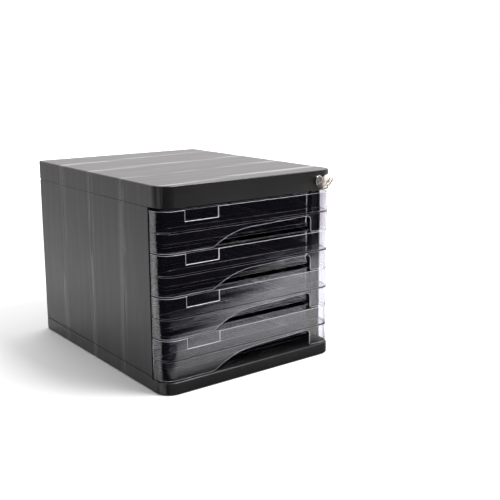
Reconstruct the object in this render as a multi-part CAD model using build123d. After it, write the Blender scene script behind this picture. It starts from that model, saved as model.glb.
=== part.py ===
from build123d import *
from math import cos, radians, sin
import os

# Desktop file drawer for A4 papers: four smoky clear drawers in a dark moulded case, locked
# by one key. Millimetres. +X is the right-hand side seen from the front, +Y the rear and +Z
# up. The origin is the centre of the footprint, on the surface that the feet stand on.

# ---- Case ------------------------------------------------------------------------------
WIDTH = 265.0
DEPTH = 335.0
FRONT_CORNER = 20.0  # plan radius of the two front corners of the base and the cover
REAR_CORNER = 4.0
COVER_HEIGHT = 25.7
BASE_HEIGHT = 17.6  # up to the seam with the side panels
LIP_DROP = 2.1  # the base is this much lower in front, under the drawers
SHELL = 2.2  # wall of the base and the cover
PANEL = 2.5  # wall of the side panels and the back panel
PANEL_SETBACK = 28.0  # front edge of a side panel, behind the front of the case
PANEL_RETURN = 1.5  # small inward edge that stiffens the panel's front
SEAM_WIDTH = 1.2  # groove along a panel's seams with the cover and the base
SEAM_DEPTH = 0.8
EDGE = 1.0  # bevel of the cover's top edge and the base's front lip
RIB = 1.6
RIB_SPACING = 82.0
COVER_RIB = 5.0  # how far the ribs hang under the roof
BASE_RIB = 8.0  # and under the deck
TONGUE = 1.8  # thickness of the tongues that lock the panels to base and cover
TONGUE_LENGTH = 40.0
TONGUE_REACH = 7.0
SIDE_TONGUES = 3  # at each end of a side panel
BACK_TONGUES = 2

# ---- Drawers ---------------------------------------------------------------------------
DRAWERS = 4
HELD = 80.0  # what a fully opened drawer travels less than the depth of the case
FRONT_HEIGHT = 49.4
FRONT_GAP = 1.8  # between two fronts
LOWER_GAP = 1.9  # under the lowest front
UPPER_GAP = 3.9  # over the highest front
FRONT_WALL = 2.0
FRONT_INSET = 1.0  # how far a front stays inside the outline of the case
RETURN_GAP = 1.5  # between a front's wrapped end and the side panel behind it
LABEL_WIDTH = 47.0
LABEL_HEIGHT = 13.3
LABEL_DEPTH = 0.8
LABEL_OFFSET = 32.5  # from the left end of the front
SCOOP_LEFT = 71.5  # from the left end of the front to the foot of the finger scoop
SCOOP_RIGHT = 39.0
SCOOP_HEIGHT = 21.2
SCOOP_RAMP = 28.5
SCOOP_SHOULDER = 17.6
SCOOP_BEND = 112.0  # radius where the ramp turns into the long upper edge
SCOOP_CORNER = 6.0
SCOOP_FOOT = 3.0
WEB_HEIGHT = 23.0  # underside of the web that ties the front to the tray
RECESS_DEPTH = 24.0  # finger space between the front and the tray
TRAY_WALL = 2.0
TRAY_LIFT = 1.5  # underside of the tray above the lower edge of the front
RIM_DROP = 1.9  # rim of the tray below the upper edge of the front
RIM_LIP = 1.6
TRAY_CORNER = 8.0
FLOOR_CHAMFER = 2.0
SIDE_SPACE = 16.0  # between a tray's rim and the side panel
REAR_SPACE = 3.5

# ---- Runners ---------------------------------------------------------------------------
RUNNER_HEIGHT = 30.0  # underside of a tray's runner flange above the front's lower edge
RUNNER = 2.2
RUNNER_REACH = 4.0
RAIL = 2.0
RAIL_REACH = 15.4  # how far a rail stands out from the side panel
STOP_RISE = 3.8  # the lug at the rear end of a runner
STOP_LENGTH = 4.5
LADDER_REACH = 8.0  # upright ribs that tie the rails of a side panel together
LADDERS = 2

# ---- Clearances ------------------------------------------------------------------------
SLIDE_CLEARANCE = 0.3
RUN_CLEARANCE = 0.08
SCREW_CLEARANCE = 0.05
STOP_CLEARANCE = 0.5
KEY_CLEARANCE = 0.15

# ---- Feet and screws -------------------------------------------------------------------
FOOT_SHOW = 0.8  # how far the feet hold the base off the table
FOOT_THICKNESS = 2.8
FOOT_SIZE = 18.0
FOOT_INSET = 34.0
FOOT_FRAME = 0.8  # depth of the frame that holds a foot's edges
BOSS_WALL = 2.0
SCREW_RADIUS = 1.5
SCREW_HEAD = 3.2  # half of the hexagon's width across flats
SCREW_HEAD_HEIGHT = 2.0
SCREW_LENGTH = 18.0
SCREW_SPACING = 200.0
SCREW_INSET = 6.0
SCREW_SEAT = 4.0  # boss under the deck, down to the screw's head
PANEL_BOSS = 12.0

# ---- Lock ------------------------------------------------------------------------------
LOCK_OFFSET = 28.5  # from the right-hand side of the case
LOCK_HEAD_RADIUS = 7.0
LOCK_HEAD = 2.8
FLAT_COUNT = 8  # round the head
LOCK_FLAT_DEPTH = 0.45
BARREL_RADIUS = 5.8
BARREL_FLAT = 5.0
BARREL_LENGTH = 28.0
PLUG_RADIUS = 4.3
PLUG_COLLAR = 0.9
COLLAR_EXTRA = 0.7
COLLAR_SINK = 0.4
WASHER = 0.8
WASHER_EXTRA = 2.6
NUT = 3.0
NUT_ACROSS = 14.0
STUB = 5.0  # square end of the plug that drives the cam
CAM = 1.5
CAM_HUB = 5.0
CAM_THROW = 8.0
CAM_TIP = 3.2
CAM_PIN = 1.8
PIN_CLEARANCE = 0.4
CAM_ANGLE = 45.0  # of the cam and the keyway, above the horizontal
CAM_SCREW_RADIUS = 1.2
CAM_SCREW_HEAD = 2.9
CAM_SCREW_HEAD_HEIGHT = 1.0
CAM_SCREW_LENGTH = 6.0
WAFERS = 4
WAFER = 0.8
WAFER_PITCH = 3.2
WAFER_WIDTH = 5.2
WAFER_HEIGHT = 6.8
WAFER_SLACK = 0.1
WAFER_START = 5.0

# ---- Lock bar --------------------------------------------------------------------------
BAR_SETBACK = 4.0  # behind the front edge of the side panel
BAR_DEPTH = 6.0
BAR_WIDTH = 8.0
BAR_FLOOR_GAP = 1.0  # over the deck, with the bar down
CHANNEL = 2.0
CHANNEL_ARM = 1.5
CHANNEL_LIP = 1.2
CHANNEL_LIP_HEIGHT = 6.0
CHANNEL_LIP_LEVEL = 39.0
YOKE_HEIGHT = 8.0
YOKE_END = 2.0
LUG_HEIGHT = 4.0
LUG_LEVEL = 13.0  # underside of a lug above the front's lower edge, unlocked
LUG_GAP = 0.5
CATCH_LEVEL = 2.0
CATCH_HEIGHT = 6.0
CATCH_LENGTH = 4.0
CATCH_GAP = 1.0

# ---- Key -------------------------------------------------------------------------------
KEY_THICKNESS = 1.8
BLADE_WIDTH = 4.8
BLADE_LENGTH = 23.0
BLADE_TIP = 2.0
BLADE_GROOVE = 0.5
KEY_CUT = 0.5
BOW_WIDTH = 22.0
BOW_LENGTH = 21.0
BOW_SHOULDER = 8.0
BOW_NECK = 1.6
BOW_STEP = 2.0
BOW_SLOT_LENGTH = 11.0
BOW_SLOT_WIDTH = 2.4
BOW_SLOT_RIM = 1.2
BOW_SLOT_RISE = 0.4
BOW_SLOT_INSET = 5.0
BOW_GAP = 0.4

# ---- Worked out from the sizes above ---------------------------------------------------
half_width = WIDTH / 2
front = -DEPTH / 2
rear = DEPTH / 2
deck_top = BASE_HEIGHT - LIP_DROP
deck_bottom = deck_top - SHELL
first_bottom = deck_top + LOWER_GAP
pitch = FRONT_HEIGHT + FRONT_GAP
bottoms = [first_bottom + (DRAWERS - number) * pitch for number in range(1, DRAWERS + 1)]
cover_bottom = bottoms[0] + FRONT_HEIGHT + UPPER_GAP
height = cover_bottom + COVER_HEIGHT
panel_inner = half_width - PANEL
panel_front = front + PANEL_SETBACK
back_inner = rear - PANEL
travel = DEPTH - HELD

skin_half = half_width - FRONT_INSET
skin_front = front + FRONT_INSET
skin_rear = panel_front - RETURN_GAP
tray_half = panel_inner - SIDE_SPACE
tray_front = skin_front + FRONT_WALL + RECESS_DEPTH
tray_rear = back_inner - REAR_SPACE
rim_level = FRONT_HEIGHT - RIM_DROP

bar_front = panel_front + BAR_SETBACK
bar_rear = bar_front + BAR_DEPTH
bar_outer = panel_inner - CHANNEL - SLIDE_CLEARANCE
bar_inner = bar_outer - BAR_WIDTH
rail_front = bar_rear + SLIDE_CLEARANCE + CHANNEL_ARM + 2 * SLIDE_CLEARANCE
rail_inner = panel_inner - RAIL_REACH
rail_level = RUNNER_HEIGHT - SLIDE_CLEARANCE
guide_level = RUNNER_HEIGHT + RUNNER + STOP_RISE + SLIDE_CLEARANCE

lock_x = half_width - LOCK_OFFSET
lock_z = cover_bottom + COVER_HEIGHT / 2
barrel_end = front + BARREL_LENGTH
cam_rear = barrel_end + CAM
bar_drop = 2 * CAM_THROW * sin(radians(CAM_ANGLE))
yoke_z = lock_z + bar_drop / 2
plug_face = front - LOCK_HEAD + COLLAR_SINK


def box(x_range, y_range, z_range):
    """A block between two values on each axis."""
    sizes = [high - low for low, high in (x_range, y_range, z_range)]
    middle = [(low + high) / 2 for low, high in (x_range, y_range, z_range)]
    return Pos(*middle) * Box(*sizes)


def plan(half, y_front, y_rear, front_radius, rear_radius):
    """Outline seen from above, with one radius in front and another at the rear."""
    outline = Pos(0, (y_front + y_rear) / 2) * Rectangle(2 * half, y_rear - y_front)
    outline = fillet(outline.vertices().sort_by(Axis.Y)[:2], front_radius)
    return fillet(outline.vertices().sort_by(Axis.Y)[-2:], rear_radius)


def case_plan(inset):
    """Outline of the case, drawn in by a wall's thickness."""
    return plan(
        half_width - inset, front + inset, rear - inset, FRONT_CORNER - inset, REAR_CORNER - inset
    )


def slab(outline, z_low, z_high):
    """A flat outline raised between two levels."""
    return Pos(0, 0, z_low) * extrude(outline, z_high - z_low)


def both_sides(half):
    """A right-hand solid and its mirror image on the left."""
    return half + mirror(half, Plane.YZ)


def spaced(length, count):
    """Places of a number of features that divide a length evenly about zero."""
    return [length * (step / (count + 1) - 0.5) for step in range(1, count + 1)]


# ---- Case ------------------------------------------------------------------------------
def rib_grid(reach, z_low, z_high, y_start):
    """Crossed stiffening ribs inside a shell."""
    inner_half = half_width - reach
    ribs = Part()
    for x in spaced(2 * inner_half, round(2 * inner_half / RIB_SPACING) - 1):
        ribs += box((x - RIB / 2, x + RIB / 2), (y_start, rear - reach), (z_low, z_high))
    for y in spaced(rear - reach - y_start, round((rear - reach - y_start) / RIB_SPACING) - 1):
        y_rib = y + (rear - reach + y_start) / 2
        ribs += box((-inner_half, inner_half), (y_rib - RIB / 2, y_rib + RIB / 2), (z_low, z_high))
    return ribs


def barrel_outline(clearance):
    """Round with two flats, which keep the lock from turning in the cover."""
    flat = 2 * (BARREL_FLAT + clearance)
    return Circle(BARREL_RADIUS + clearance) & Rectangle(4 * BARREL_RADIUS, flat)


def make_top_cover():
    """Lid with rounded front corners, ribbed underneath and pierced for the lock."""
    cover = slab(case_plan(0), cover_bottom, height)
    cover = chamfer(cover.edges().group_by(Axis.Z)[-1], EDGE)
    roof = height - SHELL
    cover -= slab(case_plan(SHELL), cover_bottom, roof)
    cover += rib_grid(SHELL, roof - COVER_RIB, roof, rail_front)
    hole = extrude(lock_plane(front) * barrel_outline(SCREW_CLEARANCE), SHELL, both=True)
    return cover - hole


def screw_places():
    """Where the four screws pass from the base into the side panels."""
    x = panel_inner - SCREW_INSET
    return [(side * x, end * SCREW_SPACING / 2) for side in (-1, 1) for end in (-1, 1)]


def foot_places():
    """Centres of the four feet."""
    x = half_width - FOOT_INSET
    y = rear - FOOT_INSET
    return [(side * x, end * y) for side in (-1, 1) for end in (-1, 1)]


def side_tongues(clearance, z_low, z_high):
    """Tongues of the right-hand panel, inside the wall of the base or the cover."""
    tongues = Part()
    half_length = TONGUE_LENGTH / 2 + clearance
    for y in spaced(DEPTH, SIDE_TONGUES):
        tongues += box(
            (panel_inner - TONGUE - clearance, panel_inner),
            (y - half_length, y + half_length),
            (z_low, z_high),
        )
    return tongues


def back_tongues(clearance, z_low, z_high):
    """Tongues of the back panel."""
    tongues = Part()
    half_length = TONGUE_LENGTH / 2 + clearance
    for x in spaced(WIDTH, BACK_TONGUES):
        tongues += box(
            (x - half_length, x + half_length),
            (back_inner - TONGUE - clearance, back_inner),
            (z_low, z_high),
        )
    return tongues


def make_base():
    """Plinth with a lower front lip, a ribbed deck, foot bosses and screw bosses."""
    base = slab(case_plan(0), FOOT_SHOW, BASE_HEIGHT)
    base -= slab(case_plan(SHELL), deck_top, BASE_HEIGHT)
    base -= box((-WIDTH, WIDTH), (2 * front, panel_front), (deck_top, 2 * BASE_HEIGHT))
    lip = base.edges().filter_by_position(Axis.Z, deck_top - EDGE / 2, deck_top + EDGE / 2)
    base = chamfer(lip.filter_by_position(Axis.Y, front - EDGE, skin_front), EDGE)
    base -= slab(case_plan(SHELL), FOOT_SHOW, deck_bottom)
    base += rib_grid(SHELL, deck_bottom - BASE_RIB, deck_bottom, front + SHELL)
    for x, y in foot_places():
        boss = FOOT_SIZE + 2 * BOSS_WALL
        base += Pos(x, y) * slab(Rectangle(boss, boss), FOOT_THICKNESS - FOOT_FRAME, deck_bottom)
        seat = FOOT_SIZE + 2 * SCREW_CLEARANCE
        base -= Pos(x, y) * slab(Rectangle(seat, seat), 0, FOOT_THICKNESS)
    for x, y in screw_places():
        boss = 2 * (SCREW_HEAD + BOSS_WALL)
        base += Pos(x, y) * slab(Rectangle(boss, boss), deck_bottom - SCREW_SEAT, deck_bottom)
        base -= Pos(x, y) * slab(Rectangle(boss, boss), 0, deck_bottom - SCREW_SEAT)
        base -= Pos(x, y) * slab(Circle(SCREW_RADIUS + SCREW_CLEARANCE), 0, deck_top)
    slots = both_sides(side_tongues(SLIDE_CLEARANCE, deck_bottom - BASE_RIB, deck_top))
    return base - slots - back_tongues(SLIDE_CLEARANCE, deck_bottom - BASE_RIB, deck_top)


def make_feet():
    """Four square pads, each set in the frame of its boss."""
    feet = Part()
    for x, y in foot_places():
        feet += Pos(x, y) * slab(Rectangle(FOOT_SIZE, FOOT_SIZE), 0, FOOT_THICKNESS)
    return feet


def make_base_screws():
    """Four screws, driven up through the base."""
    seat = deck_bottom - SCREW_SEAT
    screws = Part()
    for x, y in screw_places():
        hexagon = RegularPolygon(SCREW_HEAD, 6, major_radius=False)
        head = slab(hexagon, seat - SCREW_HEAD_HEIGHT, seat)
        shank = slab(Circle(SCREW_RADIUS), seat, seat + SCREW_LENGTH)
        screws += Pos(x, y) * (head + shank)
    return screws


def trim_wall(wall):
    """A panel's wall inside the outline of the case, with a groove along its two seams."""
    inner = wall & slab(case_plan(SEAM_DEPTH), BASE_HEIGHT, cover_bottom)
    return inner + (wall & slab(case_plan(0), BASE_HEIGHT + SEAM_WIDTH, cover_bottom - SEAM_WIDTH))


def make_side_panel():
    """Right-hand panel with the rails, guides and stops of every drawer."""
    wall = box((panel_inner, half_width), (panel_front, rear), (BASE_HEIGHT, cover_bottom))
    panel = trim_wall(wall) + box(
        (panel_inner - PANEL_RETURN, panel_inner),
        (panel_front, panel_front + PANEL_RETURN),
        (BASE_HEIGHT, cover_bottom),
    )
    panel += box(
        (panel_inner - LADDER_REACH, panel_inner),
        (back_inner - PANEL, back_inner),
        (BASE_HEIGHT, cover_bottom),
    )
    rail_rear = back_inner - PANEL
    stop_rear = tray_rear - STOP_LENGTH - travel - STOP_CLEARANCE
    reach = (rail_inner, panel_inner)
    for bottom in bottoms:
        panel += box(reach, (rail_front, rail_rear), (bottom + rail_level - RAIL, bottom + rail_level))
        guide = (bottom + guide_level, bottom + guide_level + RAIL)
        panel += box(reach, (stop_rear - STOP_LENGTH, rail_rear), guide)
        stop = (bottom + RUNNER_HEIGHT + RUNNER + SLIDE_CLEARANCE, bottom + guide_level)
        panel += box(reach, (stop_rear - STOP_LENGTH, stop_rear), stop)
    for y in spaced(rail_rear - rail_front, LADDERS):
        y_rib = y + (rail_rear + rail_front) / 2
        panel += box(
            (panel_inner - LADDER_REACH, panel_inner),
            (y_rib - RIB / 2, y_rib + RIB / 2),
            (BASE_HEIGHT, cover_bottom),
        )
    panel += side_tongues(0, cover_bottom - TONGUE_REACH, cover_bottom + TONGUE_REACH)
    panel += side_tongues(0, deck_top - TONGUE_REACH, BASE_HEIGHT + TONGUE_REACH)
    for x, y in screw_places():
        if x > 0:
            boss = SCREW_RADIUS + BOSS_WALL
            post = box((-boss, SCREW_INSET), (-boss, boss), (BASE_HEIGHT, deck_top + PANEL_BOSS))
            post += box((-boss, boss), (-boss, boss), (deck_top, BASE_HEIGHT))
            panel += Pos(x, y) * post
            panel -= Pos(x, y) * slab(
                Circle(SCREW_RADIUS + SCREW_CLEARANCE), deck_top, deck_top + PANEL_BOSS
            )
    return panel


def make_back_panel():
    """Plain rear wall between the side panels."""
    wall = box((-panel_inner, panel_inner), (back_inner, rear), (BASE_HEIGHT, cover_bottom))
    panel = trim_wall(wall)
    panel += back_tongues(0, cover_bottom - TONGUE_REACH, cover_bottom + TONGUE_REACH)
    panel += back_tongues(0, deck_top - TONGUE_REACH, BASE_HEIGHT + TONGUE_REACH)
    return panel


# ---- Drawer, drawn with the lower edge of its front at zero -------------------------------
def front_outline():
    """Face of a drawer front with the finger scoop out of its lower edge."""
    below = 2 * SCOOP_FOOT
    left = -skin_half + SCOOP_LEFT
    right = skin_half - SCOOP_RIGHT
    ramp = SCOOP_RAMP / SCOOP_SHOULDER
    edge = FilletPolyline(
        (left - below * ramp, -below),
        (left + SCOOP_RAMP, SCOOP_SHOULDER),
        (right, SCOOP_HEIGHT),
        (right, -below),
        radius=[SCOOP_BEND, SCOOP_CORNER],
    )
    scoop = make_face(edge + Line((right, -below), (left - below * ramp, -below)))
    face = Pos(0, FRONT_HEIGHT / 2) * Rectangle(2 * skin_half, FRONT_HEIGHT) - scoop
    feet = face.vertices().filter_by_position(Axis.Y, -0.01, 0.01).sort_by(Axis.X)
    return fillet(feet[1:3], SCOOP_FOOT)


def make_skin():
    """The wrapped front: a face, two rounded corners and two short returns."""
    radius = FRONT_CORNER - FRONT_INSET
    outer = plan_open(skin_half, skin_front, skin_rear, radius)
    inner = plan_open(
        skin_half - FRONT_WALL, skin_front + FRONT_WALL, rear, radius - FRONT_WALL
    )
    skin = slab(outer - inner, 0, FRONT_HEIGHT)
    upright = Plane(origin=(0, rear, 0), x_dir=(1, 0, 0), z_dir=(0, -1, 0))
    skin &= extrude(upright * front_outline(), DEPTH)
    left = -skin_half + LABEL_OFFSET
    return skin - box(
        (left, left + LABEL_WIDTH),
        (skin_front - FRONT_WALL, skin_front + LABEL_DEPTH),
        (FRONT_HEIGHT - LABEL_HEIGHT, 2 * FRONT_HEIGHT),
    )


def plan_open(half, y_front, y_rear, radius):
    """Outline seen from above with only its front corners rounded."""
    outline = Pos(0, (y_front + y_rear) / 2) * Rectangle(2 * half, y_rear - y_front)
    return fillet(outline.vertices().sort_by(Axis.Y)[:2], radius)


def tray_block(inset, z_low):
    """The tray's outside, or its inside one wall further in."""
    outline = RectangleRounded(
        2 * (tray_half - inset), tray_rear - tray_front - 2 * inset, TRAY_CORNER - inset
    )
    outline = Pos(0, (tray_front + tray_rear) / 2) * outline
    return slab(outline, z_low, rim_level)


def make_drawer():
    """One clear moulding: the front, the web behind it, the tray and its runners."""
    drawer = tray_block(0, TRAY_LIFT)
    lip = RectangleRounded(
        2 * (tray_half + RIM_LIP), tray_rear - tray_front + 2 * RIM_LIP, TRAY_CORNER + RIM_LIP
    )
    lip = Pos(0, (tray_front + tray_rear) / 2) * lip
    drawer += slab(lip, rim_level - RIM_LIP, rim_level)
    web = plan_open(
        skin_half - FRONT_WALL / 2, skin_front + FRONT_WALL / 2, skin_rear, FRONT_CORNER - FRONT_INSET
    )
    web += Pos(0, (skin_rear + tray_front) / 2 + TRAY_WALL / 2) * Rectangle(
        2 * (tray_half - TRAY_CORNER), tray_front + TRAY_WALL - skin_rear
    )
    drawer += slab(web, WEB_HEIGHT, WEB_HEIGHT + TRAY_WALL)
    runner = box(
        (tray_half - TRAY_WALL, tray_half + RUNNER_REACH),
        (rail_front, tray_rear - TRAY_CORNER),
        (RUNNER_HEIGHT, RUNNER_HEIGHT + RUNNER),
    )
    runner += box(
        (tray_half - TRAY_WALL, tray_half + RUNNER_REACH),
        (tray_rear - STOP_LENGTH, tray_rear),
        (RUNNER_HEIGHT, RUNNER_HEIGHT + RUNNER + STOP_RISE),
    )
    runner += box(
        (tray_half - TRAY_CORNER, tray_half + RUNNER_REACH),
        (tray_rear - TRAY_CORNER - TRAY_WALL, tray_rear),
        (RUNNER_HEIGHT, RUNNER_HEIGHT + RUNNER),
    )
    drawer += both_sides(runner)
    catch_front = bar_rear + CATCH_GAP
    drawer += box(
        (tray_half - TRAY_WALL, tray_half + RUNNER_REACH),
        (catch_front, catch_front + CATCH_LENGTH),
        (CATCH_LEVEL, CATCH_LEVEL + CATCH_HEIGHT),
    )
    inside = tray_block(TRAY_WALL, TRAY_LIFT + TRAY_WALL)
    inside = chamfer(inside.edges().group_by(Axis.Z)[0], FLOOR_CHAMFER)
    return drawer - inside + make_skin()


# ---- Lock --------------------------------------------------------------------------------
def lock_plane(y, angle=0):
    """Plane across the lock's axis at a depth, seen from the front, turned by an angle."""
    turn = radians(angle)
    return Plane(origin=(lock_x, y, lock_z), x_dir=(cos(turn), 0, sin(turn)), z_dir=(0, -1, 0))


def across_lock(outline, y_front, y_rear, angle=0):
    """An outline across the lock's axis, given a depth from front to rear."""
    return extrude(lock_plane(y_rear, angle) * outline, y_rear - y_front)


def keyway(clearance):
    """Section of the blade: a bar with one ward groove in each face."""
    bar = Rectangle(BLADE_WIDTH + 2 * clearance, KEY_THICKNESS + 2 * clearance)
    for side in (-1, 1):
        groove = Rectangle(BLADE_GROOVE * 2 - 2 * clearance, BLADE_GROOVE)
        y = KEY_THICKNESS / 2 + clearance - BLADE_GROOVE / 2
        bar -= Pos(side * BLADE_WIDTH / 5, side * y) * groove
    return bar


def make_lock_housing():
    """Chromed head with flats round its rim, on a barrel with two flats."""
    head_front = front - LOCK_HEAD
    head = across_lock(Circle(LOCK_HEAD_RADIUS), head_front, front)
    rim = head.edges().group_by(Axis.Y)[0]
    head = chamfer(rim, LOCK_HEAD / 4)
    flats = RegularPolygon(LOCK_HEAD_RADIUS - LOCK_FLAT_DEPTH, FLAT_COUNT, major_radius=False)
    head &= across_lock(flats, head_front, front)
    housing = head + across_lock(barrel_outline(0), front, barrel_end)
    housing -= across_lock(Circle(PLUG_RADIUS + RUN_CLEARANCE), head_front, barrel_end)
    collar = PLUG_RADIUS + COLLAR_EXTRA + RUN_CLEARANCE
    seat = plug_face + PLUG_COLLAR + RUN_CLEARANCE
    return housing - across_lock(Circle(collar), head_front, seat)


def make_lock_washer():
    """Flat ring behind the cover's wall."""
    ring = Circle(BARREL_RADIUS + WASHER_EXTRA) - Circle(BARREL_RADIUS + SCREW_CLEARANCE)
    return across_lock(ring, front + SHELL, front + SHELL + WASHER)


def make_lock_nut():
    """Hexagon nut that clamps the barrel to the cover."""
    start = front + SHELL + WASHER
    hexagon = RegularPolygon(NUT_ACROSS / 2, 6, major_radius=False)
    return across_lock(hexagon - Circle(BARREL_RADIUS + SCREW_CLEARANCE), start, start + NUT)


def wafer_places():
    """Front face of each wafer along the plug."""
    return [front + WAFER_START + step * WAFER_PITCH for step in range(WAFERS)]


def make_lock_plug():
    """Turning core with the keyway, a slot for each wafer and a square end for the cam."""
    plug = across_lock(Circle(PLUG_RADIUS), plug_face, barrel_end)
    plug += across_lock(
        Circle(PLUG_RADIUS + COLLAR_EXTRA), plug_face, plug_face + PLUG_COLLAR
    )
    plug += across_lock(Rectangle(STUB, STUB), barrel_end, cam_rear, CAM_ANGLE)
    blade_end = plug_face + BLADE_LENGTH + STOP_CLEARANCE
    plug -= across_lock(keyway(KEY_CLEARANCE), plug_face, blade_end, CAM_ANGLE)
    room = Rectangle(WAFER_HEIGHT + 4 * WAFER_SLACK, WAFER_WIDTH + 2 * WAFER_SLACK)
    for y in wafer_places():
        plug -= across_lock(room, y - WAFER_SLACK, y + WAFER + WAFER_SLACK, CAM_ANGLE)
    bore = Circle(CAM_SCREW_RADIUS + SCREW_CLEARANCE)
    return plug - across_lock(bore, cam_rear - CAM_SCREW_LENGTH, cam_rear)


def make_lock_wafers():
    """Thin plates in the plug, each with a window that the blade runs through."""
    plate = Rectangle(WAFER_HEIGHT, WAFER_WIDTH)
    window = 2 * (KEY_CLEARANCE + WAFER_SLACK)
    plate -= Rectangle(BLADE_WIDTH + window, KEY_THICKNESS + window)
    wafers = Part()
    for y in wafer_places():
        wafers += across_lock(plate, y, y + WAFER, CAM_ANGLE)
    return wafers


def make_lock_cam():
    """Arm on the end of the plug, with the pin that works the lock bar."""
    outline = make_hull((Circle(CAM_HUB) + Pos(CAM_THROW, 0) * Circle(CAM_TIP)).edges())
    outline -= Rectangle(STUB, STUB)
    cam = across_lock(outline, barrel_end, cam_rear, CAM_ANGLE)
    pin = Pos(CAM_THROW, 0) * Circle(CAM_PIN)
    return cam + across_lock(pin, cam_rear, bar_rear - SLIDE_CLEARANCE, CAM_ANGLE)


def make_cam_screw():
    """Screw that holds the cam on the plug."""
    head = across_lock(Circle(CAM_SCREW_HEAD), cam_rear, cam_rear + CAM_SCREW_HEAD_HEIGHT)
    start = cam_rear - CAM_SCREW_LENGTH
    return head + across_lock(Circle(CAM_SCREW_RADIUS), start, cam_rear)


def make_lock_bar():
    """Upright bar that the cam lowers, with one lug for each drawer."""
    low = deck_top + BAR_FLOOR_GAP + bar_drop
    y_range = (bar_front, bar_rear)
    bar = box((bar_inner, bar_outer), y_range, (low, yoke_z + YOKE_HEIGHT / 2))
    slot_left = lock_x + bar_drop / 2 - CAM_PIN - PIN_CLEARANCE
    slot_right = lock_x + CAM_THROW + CAM_PIN + PIN_CLEARANCE
    yoke = (yoke_z - YOKE_HEIGHT / 2, yoke_z + YOKE_HEIGHT / 2)
    bar += box((slot_left - YOKE_END, bar_outer), y_range, yoke)
    slot_half = CAM_PIN + PIN_CLEARANCE
    bar -= box((slot_left, slot_right), y_range, (yoke_z - slot_half, yoke_z + slot_half))
    for bottom in bottoms:
        lug = (bottom + LUG_LEVEL, bottom + LUG_LEVEL + LUG_HEIGHT)
        bar += box((tray_half + LUG_GAP, bar_inner), y_range, lug)
    return bar


def make_lock_bar_channel():
    """Guide on the right-hand panel that the lock bar slides in."""
    low = bottoms[-1] + LUG_LEVEL
    high = cover_bottom
    arm = CHANNEL_ARM + SLIDE_CLEARANCE
    y_range = (bar_front - arm, bar_rear + arm)
    channel = box((bar_outer + SLIDE_CLEARANCE, panel_inner), y_range, (low, high))
    for y in (bar_front - arm, bar_rear + SLIDE_CLEARANCE):
        channel += box(
            (bar_inner - SLIDE_CLEARANCE, panel_inner), (y, y + CHANNEL_ARM), (low, high)
        )
    for bottom in bottoms:
        lip = (bottom + CHANNEL_LIP_LEVEL, bottom + CHANNEL_LIP_LEVEL + CHANNEL_LIP_HEIGHT)
        channel += box(
            (bar_inner - SLIDE_CLEARANCE - CHANNEL_LIP, bar_inner - SLIDE_CLEARANCE),
            y_range,
            lip,
        )
    return channel


def make_key():
    """Flat key: a grooved, cut blade and a bow with a stepped end and a hanging slot."""
    turn = radians(CAM_ANGLE)
    shoulder = plug_face - BOW_GAP
    flat = Plane(
        origin=(lock_x, shoulder, lock_z), x_dir=(cos(turn), 0, sin(turn)), z_dir=(sin(turn), 0, -cos(turn))
    )
    half = BOW_WIDTH / 2
    neck = BOW_SHOULDER / 2
    corner = half - 2 * BOW_STEP
    bow_half = [
        (neck, 0),
        (neck, BOW_NECK),
        (half - BOW_STEP, BOW_NECK + BOW_STEP),
        (half, BOW_NECK + 2 * BOW_STEP),
        (half, BOW_LENGTH - 3 * BOW_STEP),
        (corner, BOW_LENGTH - BOW_STEP),
        (corner - BOW_STEP, BOW_LENGTH - BOW_STEP),
        (corner - BOW_STEP, BOW_LENGTH),
    ]
    outline = bow_half + [(-x, y) for x, y in reversed(bow_half)]
    bow = extrude(flat * make_face(Polyline(*outline, close=True)), KEY_THICKNESS / 2, both=True)
    slot_place = Pos(0, BOW_LENGTH - BOW_SLOT_INSET)
    rim = slot_place * RectangleRounded(
        BOW_SLOT_LENGTH + 2 * BOW_SLOT_RIM,
        BOW_SLOT_WIDTH + 2 * BOW_SLOT_RIM,
        BOW_SLOT_RIM,
    )
    bow += extrude(flat * rim, KEY_THICKNESS / 2 + BOW_SLOT_RISE, both=True)
    slot = slot_place * Rectangle(BOW_SLOT_LENGTH, BOW_SLOT_WIDTH)
    bow -= extrude(flat * slot, KEY_THICKNESS, both=True)
    blade = across_lock(keyway(0), shoulder, plug_face + BLADE_LENGTH, CAM_ANGLE)
    end = BLADE_LENGTH + BOW_GAP
    tip = Polyline(
        (-BLADE_WIDTH / 2, BLADE_TIP - end),
        (0, -end),
        (BLADE_WIDTH / 2, BLADE_TIP - end),
        (half, BLADE_TIP - end),
        (half, -end - BLADE_TIP),
        (-half, -end - BLADE_TIP),
        (-half, BLADE_TIP - end),
        close=True,
    )
    blade -= extrude(flat * make_face(tip), KEY_THICKNESS, both=True)
    for step, y in enumerate(wafer_places()):
        if step % 2:
            place = Pos(BLADE_WIDTH / 2, shoulder - y - WAFER / 2)
            cut = place * Rectangle(2 * KEY_CUT, 2 * WAFER)
            blade -= extrude(flat * cut, KEY_THICKNESS, both=True)
    return bow + blade


def write(name, shape):
    """Saves one piece under its own name."""
    export_step(shape, f"parts/{name}.step")


os.makedirs("parts", exist_ok=True)

right_panel = make_side_panel()
write("base", make_base())
write("feet", make_feet())
write("base_screws", make_base_screws())
write("right_side_panel", right_panel)
write("left_side_panel", mirror(right_panel, Plane.YZ))
write("back_panel", make_back_panel())
write("top_cover", make_top_cover())

drawer = make_drawer()
for number, bottom in enumerate(bottoms, start=1):
    write(f"drawer_{number}", Pos(0, 0, bottom) * drawer)

write("lock_housing", make_lock_housing())
write("lock_washer", make_lock_washer())
write("lock_nut", make_lock_nut())
write("lock_plug", make_lock_plug())
write("lock_wafers", make_lock_wafers())
write("lock_cam", make_lock_cam())
write("cam_screw", make_cam_screw())
write("lock_bar", make_lock_bar())
write("lock_bar_channel", make_lock_bar_channel())
write("key", make_key())
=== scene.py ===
import math

import bpy
from mathutils import Matrix, Vector

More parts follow.
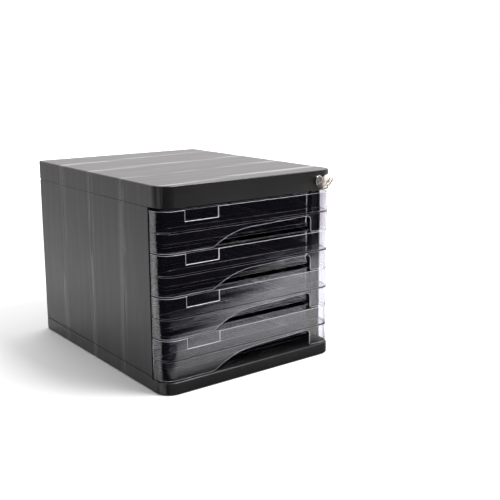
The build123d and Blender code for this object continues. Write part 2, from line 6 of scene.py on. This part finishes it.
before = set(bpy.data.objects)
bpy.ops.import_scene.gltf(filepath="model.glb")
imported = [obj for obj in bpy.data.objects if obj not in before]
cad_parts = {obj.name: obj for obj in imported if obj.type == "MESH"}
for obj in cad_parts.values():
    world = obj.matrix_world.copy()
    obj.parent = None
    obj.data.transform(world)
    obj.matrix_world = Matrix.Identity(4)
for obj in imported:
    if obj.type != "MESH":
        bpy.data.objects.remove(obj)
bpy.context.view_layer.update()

# The desktop file drawer in its studio. Metres, in the frame of the CAD model: +X to the right
# seen from the front, +Y to the rear, +Z up, the origin on the table under the case's middle.

# ---- Camera, from the photograph's straight edges ------------------------------------------
CAMERA_PLACE = (-0.5966, -0.9471, 0.3833)
CAMERA_AZIMUTH = -37.12
CAMERA_ELEVATION = 11.07
CAMERA_ROLL = -0.27
CAMERA_LENS_MM = 58.98
SENSOR_MM = 36.0
CAMERA_SHIFT_Y = -0.05

# ---- Studio ----------------------------------------------------------------------------------
FLOOR_SIZE = 12.0
FLOOR_WHITE = 0.8
# Faint glow that gloss and clear plastic see on the table before its edge and in its painted shadow
# strip.
DARK_FLOOR_AND_PAINTED_SHADOW = (0.045, 0.042, 0.056)
DARK_ROOM = (0.055, 0.051, 0.070)
WHITE_ROOM = (1.45, 1.41, 1.42)
FADE_START = 0.7  # distance from the object at which the table turns plain white in the picture
FADE_END = 2.2
# In gloss and through clear plastic, the table has a painted contact shadow: a dark strip along the
# case's front. These are distances to the front of the origin: the strip fades out from the first to
# the second.
SHADOW_STRIP_FADE_START = 0.20
SHADOW_STRIP_FADE_END = 0.245
SHADOW_STRIP_REAR = 0.17  # it starts here, at the case's front
SHADOW_STRIP_REAR_BLUR = 0.05
# The white table and the bright rear of the studio lie beyond a line on the floor, in front of
# the object; what lies before it is dark, and the drawers' fronts mirror both.
BRIGHT_WAY = (0.5, 0.866, 0.0)
TABLE_EDGE = -0.2806
TABLE_EDGE_BLUR = 0.03
REAR_DARK = -0.35
REAR_BRIGHT = 0.85
AMBIENT = (0.42, 0.42, 0.42)
SOFTBOX_PLACE = (0.5, 0.5, 2.0)
SOFTBOX_SIZE = 2.2
SOFTBOX_POWER = 34.0
TABLE_LIGHT_PLACE = (0.35, -0.55, 1.1)
TABLE_LIGHT_SIZE = 0.5
TABLE_LIGHT_POWER = 22.0

# ---- Finish ----------------------------------------------------------------------------------
# Streaks on the case: glossier flow marks, and their lighter colour is painted sheen.
STREAK_PITCH = 0.0833
STREAK_START = 0.034
STREAK_WANDER = 0.022
STREAK_SLANT = 0.12
STREAK_BAND = 0.16
STREAK_FAINT = 0.12
STREAK_RIDGE = (0.42, 0.51, 0.60)  # levels of the fine noise where a streak starts, peaks, ends
CASE_DARK = (0.0068, 0.0062, 0.0062)
CASE_LIGHT = (0.0098, 0.0090, 0.0090)
STREAK_PAINTED_SHEEN = (0.054, 0.050, 0.050)
CASE_ROUGHNESS = 0.37
STREAK_ROUGHNESS = 0.13
CASE_IOR = 1.46
CLEAR_DARK = (0.70, 0.69, 0.74)
CLEAR_LIGHT = (0.75, 0.74, 0.78)
CLEAR_HAZE = 0.006
CLEAR_IOR = 1.5
# Painted highlight on the drawers' rounded edges: a pale, less clear plastic.
EDGE_HIGHLIGHT_DARK = (0.60, 0.59, 0.66)
EDGE_HIGHLIGHT_LIGHT = (0.82, 0.81, 0.86)
EDGE_HIGHLIGHT_CLARITY = 0.35
INNER_COLOUR = (0.03, 0.03, 0.032)
RUBBER_COLOUR = (0.022, 0.022, 0.022)
CHROME = (0.80, 0.80, 0.81)
CHROME_WORN = (0.74, 0.73, 0.73)
PLUG_NICKEL = (0.66, 0.65, 0.63)
PLUG_NICKEL_WORN = (0.52, 0.50, 0.48)
KEY_NICKEL = (0.70, 0.66, 0.61)
KEY_NICKEL_WORN = (0.42, 0.36, 0.31)
ZINC = (0.60, 0.60, 0.58)
ZINC_WORN = (0.50, 0.48, 0.42)
BRASS = (0.74, 0.56, 0.28)
BRASS_WORN = (0.60, 0.42, 0.20)
ROUNDED_ANGLE = 35  # degrees; a sharper turn between two faces gets a rounded edge
WELD_REACH = 0.000005
CASE_EDGE = 0.0005
CLEAR_EDGE = 0.0004
METAL_EDGE = 0.00025


def nodes_of(material):
    """The material's node tree with only its output left, and that output."""
    tree = material.node_tree
    tree.nodes.clear()
    return tree, tree.nodes.new("ShaderNodeOutputMaterial")


def new_material(name):
    """A material with one Principled shader, and its tree."""
    material = bpy.data.materials.new(name)
    material.use_nodes = True
    tree, output = nodes_of(material)
    shader = tree.nodes.new("ShaderNodeBsdfPrincipled")
    tree.links.new(shader.outputs["BSDF"], output.inputs["Surface"])
    return material, tree, shader


def stretched_noise(tree, stretch, scale, detail=2.0, distortion=0.0):
    """Noise on the object's own coordinates, stretched along each axis."""
    place = tree.nodes.new("ShaderNodeTexCoord")
    mapping = tree.nodes.new("ShaderNodeMapping")
    mapping.inputs["Scale"].default_value = stretch
    noise = tree.nodes.new("ShaderNodeTexNoise")
    noise.inputs["Scale"].default_value = scale
    noise.inputs["Detail"].default_value = detail
    noise.inputs["Distortion"].default_value = distortion
    tree.links.new(place.outputs["Object"], mapping.inputs["Vector"])
    tree.links.new(mapping.outputs["Vector"], noise.inputs["Vector"])
    return noise.outputs["Fac"]


def ramp(tree, value, low, high, low_at=0.0, high_at=1.0):
    """A value turned into a colour between two stops."""
    node = tree.nodes.new("ShaderNodeValToRGB")
    node.color_ramp.elements[0].position = low_at
    node.color_ramp.elements[0].color = (*low, 1.0)
    node.color_ramp.elements[1].position = high_at
    node.color_ramp.elements[1].color = (*high, 1.0)
    tree.links.new(value, node.inputs["Fac"])
    return node.outputs["Color"]


def grey_ramp(tree, value, low, high, low_at=0.0, high_at=1.0):
    """A value remapped between two levels."""
    return ramp(tree, value, (low,) * 3, (high,) * 3, low_at, high_at)


def bump(tree, shader, height, strength, distance):
    """Surface relief on a shader."""
    node = tree.nodes.new("ShaderNodeBump")
    node.inputs["Strength"].default_value = strength
    node.inputs["Distance"].default_value = distance
    tree.links.new(height, node.inputs["Height"])
    tree.links.new(node.outputs["Normal"], shader.inputs["Normal"])


def combine(tree, operation, first, second):
    """One math step between two values, either of them a socket or a number."""
    node = tree.nodes.new("ShaderNodeMath")
    node.operation = operation
    for value, socket in zip((first, second), node.inputs):
        if isinstance(value, (int, float)):
            socket.default_value = value
        else:
            tree.links.new(value, socket)
    return node.outputs["Value"]


def eased(tree, value, start, stop):
    """0 up to one value and 1 from another, with a smooth step between them."""
    reach = tree.nodes.new("ShaderNodeMapRange")
    reach.interpolation_type = "SMOOTHSTEP"
    reach.inputs["From Min"].default_value = start
    reach.inputs["From Max"].default_value = stop
    tree.links.new(value, reach.inputs["Value"])
    return reach.outputs["Result"]


def bright_side(tree, vector, start, stop):
    """0 before the line where the bright part of the studio begins, and 1 beyond it."""
    along = tree.nodes.new("ShaderNodeVectorMath")
    along.operation = "DOT_PRODUCT"
    along.inputs[1].default_value = BRIGHT_WAY
    tree.links.new(vector, along.inputs[0])
    return eased(tree, along.outputs["Value"], start, stop)


def blend(tree, factor, first, second):
    """A colour between two, each of them a socket or a plain colour."""
    node = tree.nodes.new("ShaderNodeMixRGB")
    tree.links.new(factor, node.inputs["Fac"])
    for value, socket in zip((first, second), (node.inputs["Color1"], node.inputs["Color2"])):
        if isinstance(value, tuple):
            socket.default_value = (*value, 1.0)
        else:
            tree.links.new(value, socket)
    return node.outputs["Color"]


def streak_and_sheen_mask(tree):
    """Thin wavy streaks in bands across the case at each rib inside it: glossier flow marks with
    painted sheen.
    """
    place = tree.nodes.new("ShaderNodeTexCoord")
    split = tree.nodes.new("ShaderNodeSeparateXYZ")
    tree.links.new(place.outputs["Object"], split.inputs["Vector"])
    wander = stretched_noise(tree, (1.0, 0.3, 1.0), 5.0, detail=1.0)
    waves = combine(tree, "MULTIPLY", wander, STREAK_WANDER)
    shifted = combine(tree, "ADD", split.outputs["Y"], waves)
    slant = combine(tree, "MULTIPLY", split.outputs["X"], STREAK_SLANT)
    bowed = combine(tree, "SUBTRACT", shifted, slant)
    turns = combine(tree, "DIVIDE", combine(tree, "SUBTRACT", bowed, STREAK_START), STREAK_PITCH)
    offset = combine(tree, "PINGPONG", turns, 0.5)
    band = eased(tree, offset, STREAK_BAND, 0.0)
    fine = stretched_noise(tree, (2.0, 42.0, 2.0), 2.4, detail=2.0, distortion=0.35)
    ridge = tree.nodes.new("ShaderNodeValToRGB")
    stops = ridge.color_ramp.elements
    streak_start, streak_peak, streak_end = STREAK_RIDGE
    stops[0].position = streak_start
    stops[0].color = (0, 0, 0, 1)
    stops[1].position = streak_end
    stops[1].color = (0, 0, 0, 1)
    peak = stops.new(streak_peak)
    peak.color = (1, 1, 1, 1)
    tree.links.new(fine, ridge.inputs["Fac"])
    faint = combine(tree, "MULTIPLY", ridge.outputs["Color"], STREAK_FAINT)
    strong = combine(tree, "MULTIPLY", ridge.outputs["Color"], band)
    return combine(tree, "MAXIMUM", faint, strong)


def case_plastic():
    """Dark charcoal moulded plastic with a satin skin and faint streaks: glossier flow marks, lighter
    with painted sheen.
    """
    material, tree, shader = new_material("case_plastic")
    streaks_and_sheen = streak_and_sheen_mask(tree)
    cloud = stretched_noise(tree, (1, 1, 1), 9.0, detail=4.0)
    base = ramp(tree, cloud, CASE_DARK, CASE_LIGHT, 0.3, 0.7)
    # The streaks' lighter colour is painted sheen; their lower roughness is the finish.
    tree.links.new(blend(tree, streaks_and_sheen, base, STREAK_PAINTED_SHEEN), shader.inputs["Base Color"])
    grain = stretched_noise(tree, (1, 1, 1), 1400.0, detail=2.0)
    roughness = grey_ramp(tree, streaks_and_sheen, CASE_ROUGHNESS, STREAK_ROUGHNESS)
    tree.links.new(roughness, shader.inputs["Roughness"])
    bump(tree, shader, grain, 0.03, 0.0002)
    shader.inputs["IOR"].default_value = CASE_IOR
    return material


def smoky_clear():
    """Smoke-tinted clear styrene, glossy, with the slight ripple of a thin moulding."""
    material, tree, shader = new_material("smoky_clear")
    cloud = stretched_noise(tree, (1, 1, 3), 7.0, detail=2.0)
    tint = ramp(tree, cloud, CLEAR_DARK, CLEAR_LIGHT, 0.3, 0.7)
    tree.links.new(tint, shader.inputs["Base Color"])
    shader.inputs["Transmission Weight"].default_value = 1.0
    shader.inputs["IOR"].default_value = CLEAR_IOR
    haze = stretched_noise(tree, (1, 1, 1), 30.0, detail=3.0)
    tree.links.new(grey_ramp(tree, haze, 0.0, CLEAR_HAZE), shader.inputs["Roughness"])
    ripple = stretched_noise(tree, (1, 1, 2), 22.0, detail=1.0)
    bump(tree, shader, ripple, 0.012, 0.001)
    return material


def painted_edge_highlight():
    """The rounded edges of the clear mouldings, pale and less clear: a painted highlight for their
    bright edge lines.
    """
    material, tree, shader = new_material("painted_edge_highlight")
    cloud = stretched_noise(tree, (1, 1, 1), 90.0, detail=2.0)
    tint = ramp(tree, cloud, EDGE_HIGHLIGHT_DARK, EDGE_HIGHLIGHT_LIGHT, 0.35, 0.65)
    tree.links.new(tint, shader.inputs["Base Color"])
    shader.inputs["Transmission Weight"].default_value = EDGE_HIGHLIGHT_CLARITY
    shader.inputs["IOR"].default_value = CLEAR_IOR
    tree.links.new(grey_ramp(tree, cloud, 0.12, 0.3), shader.inputs["Roughness"])
    return material


def dull_plastic(name, colour):
    """Unpolished inner plastic or rubber with a fine grain."""
    material, tree, shader = new_material(name)
    cloud = stretched_noise(tree, (1, 1, 1), 60.0, detail=3.0)
    darker = tuple(0.7 * channel for channel in colour)
    tree.links.new(ramp(tree, cloud, darker, colour, 0.35, 0.65), shader.inputs["Base Color"])
    shader.inputs["Roughness"].default_value = 0.6
    grain = stretched_noise(tree, (1, 1, 1), 900.0, detail=2.0)
    bump(tree, shader, grain, 0.2, 0.0003)
    return material


def metal(name, colour, worn, smooth, rough, brush):
    """Metal with fine brushed lines, and a second tone where it is worn."""
    material, tree, shader = new_material(name)
    patches = stretched_noise(tree, (1, 1, 1), 160.0, detail=4.0)
    tree.links.new(ramp(tree, patches, colour, worn, 0.42, 0.68), shader.inputs["Base Color"])
    shader.inputs["Metallic"].default_value = 1.0
    lines = stretched_noise(tree, (1, 12, 1), 420.0, detail=2.0)
    tree.links.new(grey_ramp(tree, lines, smooth, rough, 0.3, 0.7), shader.inputs["Roughness"])
    bump(tree, shader, lines, brush, 0.0001)
    return material


def dress(names, material, edge, segments=2, edge_material=None):
    """Gives CAD nodes a finish and softly rounded edges, which may have a finish of their own."""
    for name in names:
        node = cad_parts[name]
        node.data.materials.clear()
        node.data.materials.append(material)
        if edge_material:
            node.data.materials.append(edge_material)
        node.data.shade_smooth()
        weld = node.modifiers.new("joined_faces", "WELD")
        weld.merge_threshold = WELD_REACH
        bevel = node.modifiers.new("soft_edges", "BEVEL")
        bevel.width = edge
        bevel.segments = segments
        bevel.limit_method = "ANGLE"
        bevel.angle_limit = math.radians(ROUNDED_ANGLE)
        bevel.use_clamp_overlap = False
        if edge_material:
            bevel.material = 1
        normals = node.modifiers.new("flat_faces", "WEIGHTED_NORMAL")
        normals.keep_sharp = False
        normals.weight = 100


def floor_material():
    """White table with a soft shadow. Gloss and clear plastic see its end and its painted shadow
    strip.
    """
    material = bpy.data.materials.new("table_white")
    material.use_nodes = True
    tree, output = nodes_of(material)
    path = tree.nodes.new("ShaderNodeLightPath")
    place = tree.nodes.new("ShaderNodeTexCoord")
    table = bright_side(
        tree, place.outputs["Object"], TABLE_EDGE - TABLE_EDGE_BLUR, TABLE_EDGE + TABLE_EDGE_BLUR
    )
    split = tree.nodes.new("ShaderNodeSeparateXYZ")
    tree.links.new(place.outputs["Object"], split.inputs["Vector"])
    # Painted contact shadow: in gloss and through clear plastic the table turns dark in a strip along
    # the case's front.
    toward_front = combine(tree, "MULTIPLY", split.outputs["Y"], -1.0)
    before_painted_shadow = eased(tree, toward_front, SHADOW_STRIP_FADE_START, SHADOW_STRIP_FADE_END)
    behind_painted_shadow = eased(tree, toward_front, SHADOW_STRIP_REAR, SHADOW_STRIP_REAR - SHADOW_STRIP_REAR_BLUR)
    outside_painted_shadow = combine(tree, "MAXIMUM", before_painted_shadow, behind_painted_shadow)
    mirrored = combine(
        tree, "MAXIMUM", path.outputs["Is Glossy Ray"], path.outputs["Is Transmission Ray"]
    )
    lit_table = combine(tree, "MULTIPLY", table, outside_painted_shadow)
    white_part = combine(tree, "MAXIMUM", lit_table, combine(tree, "SUBTRACT", 1.0, mirrored))
    white = tree.nodes.new("ShaderNodeBsdfDiffuse")
    tree.links.new(blend(tree, white_part, (0.0, 0.0, 0.0), (FLOOR_WHITE,) * 3), white.inputs["Color"])
    distance = tree.nodes.new("ShaderNodeVectorMath")
    distance.operation = "LENGTH"
    tree.links.new(place.outputs["Object"], distance.inputs[0])
    far = combine(
        tree,
        "MULTIPLY",
        eased(tree, distance.outputs["Value"], FADE_START, FADE_END),
        path.outputs["Is Camera Ray"],
    )
    glow = tree.nodes.new("ShaderNodeEmission")
    tree.links.new(
        blend(tree, far, blend(tree, white_part, DARK_FLOOR_AND_PAINTED_SHADOW, (0.0, 0.0, 0.0)), (1.0, 1.0, 1.0)),
        glow.inputs["Color"],
    )
    both = tree.nodes.new("ShaderNodeAddShader")
    tree.links.new(white.outputs["BSDF"], both.inputs[0])
    tree.links.new(glow.outputs["Emission"], both.inputs[1])
    tree.links.new(both.outputs["Shader"], output.inputs["Surface"])
    return material


def make_floor():
    """The table, wider than any view."""
    bpy.ops.mesh.primitive_plane_add(size=FLOOR_SIZE, location=(0, 0, 0))
    floor = bpy.context.object
    floor.name = "table"
    floor.data.materials.append(floor_material())


def make_world():
    """White to the camera; to the object a bright rear, a dark front and some ambient light."""
    world = bpy.data.worlds.new("studio")
    bpy.context.scene.world = world
    world.use_nodes = True
    tree = world.node_tree
    tree.nodes.clear()
    output = tree.nodes.new("ShaderNodeOutputWorld")
    path = tree.nodes.new("ShaderNodeLightPath")
    place = tree.nodes.new("ShaderNodeTexCoord")
    rear = bright_side(tree, place.outputs["Generated"], REAR_DARK, REAR_BRIGHT)
    room = blend(tree, rear, DARK_ROOM, WHITE_ROOM)
    lit_room = tree.nodes.new("ShaderNodeMixRGB")
    lit_room.blend_type = "LIGHTEN"
    lit_room.inputs["Color2"].default_value = (*AMBIENT, 1.0)
    tree.links.new(path.outputs["Is Diffuse Ray"], lit_room.inputs["Fac"])
    tree.links.new(room, lit_room.inputs["Color1"])
    shown = blend(tree, path.outputs["Is Camera Ray"], lit_room.outputs["Color"], (1.0, 1.0, 1.0))
    shine = tree.nodes.new("ShaderNodeBackground")
    tree.links.new(shown, shine.inputs["Color"])
    tree.links.new(shine.outputs["Background"], output.inputs["Surface"])


def make_softbox(name, place, target, size, power):
    """A square area light aimed at a point."""
    light = bpy.data.lights.new(name, "AREA")
    light.shape = "SQUARE"
    light.size = size
    light.energy = power
    lamp = bpy.data.objects.new(name, light)
    lamp.location = place
    aim = Vector(target) - Vector(place)
    lamp.rotation_euler = aim.to_track_quat("-Z", "Y").to_euler()
    bpy.context.scene.collection.objects.link(lamp)


def below(place):
    """The point of the table straight below a place."""
    return (place[0], place[1], 0)


def make_camera():
    """The photograph's camera."""
    azimuth = math.radians(CAMERA_AZIMUTH)
    elevation = math.radians(CAMERA_ELEVATION)
    roll = math.radians(CAMERA_ROLL)
    look = Vector(
        (
            -math.sin(azimuth) * math.cos(elevation),
            math.cos(azimuth) * math.cos(elevation),
            -math.sin(elevation),
        )
    )
    level_right = look.cross(Vector((0, 0, 1))).normalized()
    level_up = level_right.cross(look)
    right = level_right * math.cos(roll) + level_up * math.sin(roll)
    up = level_up * math.cos(roll) - level_right * math.sin(roll)
    data = bpy.data.cameras.new("photo_camera")
    data.sensor_width = SENSOR_MM
    data.lens = CAMERA_LENS_MM
    data.shift_y = CAMERA_SHIFT_Y
    camera = bpy.data.objects.new("photo_camera", data)
    turn = Matrix((right, up, -look)).transposed().to_4x4()
    camera.matrix_world = Matrix.Translation(CAMERA_PLACE) @ turn
    bpy.context.scene.collection.objects.link(camera)
    bpy.context.scene.camera = camera


CASE_NODES = ["base", "left_side_panel", "right_side_panel", "back_panel", "top_cover"]
DRAWER_NODES = [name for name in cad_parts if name.startswith("drawer_")]

dress(CASE_NODES, case_plastic(), CASE_EDGE, segments=3)
# The drawers' rounded edges get a painted highlight, a pale and less clear plastic.
dress(DRAWER_NODES, smoky_clear(), CLEAR_EDGE, edge_material=painted_edge_highlight())
dress(["lock_bar", "lock_bar_channel"], dull_plastic("inner_plastic", INNER_COLOUR), CASE_EDGE)
dress(["feet"], dull_plastic("foot_rubber", RUBBER_COLOUR), CASE_EDGE)

chrome = metal("lock_chrome", CHROME, CHROME_WORN, smooth=0.07, rough=0.14, brush=0.02)
dress(["lock_housing"], chrome, METAL_EDGE)
plug_nickel = metal("plug_nickel", PLUG_NICKEL, PLUG_NICKEL_WORN, smooth=0.18, rough=0.3, brush=0.05)
dress(["lock_plug"], plug_nickel, METAL_EDGE)
key_nickel = metal("key_nickel", KEY_NICKEL, KEY_NICKEL_WORN, smooth=0.16, rough=0.34, brush=0.08)
dress(["key"], key_nickel, METAL_EDGE)
zinc = metal("zinc_steel", ZINC, ZINC_WORN, smooth=0.22, rough=0.4, brush=0.06)
dress(["base_screws", "cam_screw", "lock_cam", "lock_washer", "lock_nut"], zinc, METAL_EDGE)
brass = metal("wafer_brass", BRASS, BRASS_WORN, smooth=0.2, rough=0.35, brush=0.05)
dress(["lock_wafers"], brass, METAL_EDGE)

make_floor()
make_world()
make_softbox("top_light", SOFTBOX_PLACE, below(SOFTBOX_PLACE), SOFTBOX_SIZE, SOFTBOX_POWER)
make_softbox(
    "table_light",
    TABLE_LIGHT_PLACE,
    below(TABLE_LIGHT_PLACE),
    TABLE_LIGHT_SIZE,
    TABLE_LIGHT_POWER,
)
make_camera()
bpy.context.scene.view_settings.view_transform = "Standard"
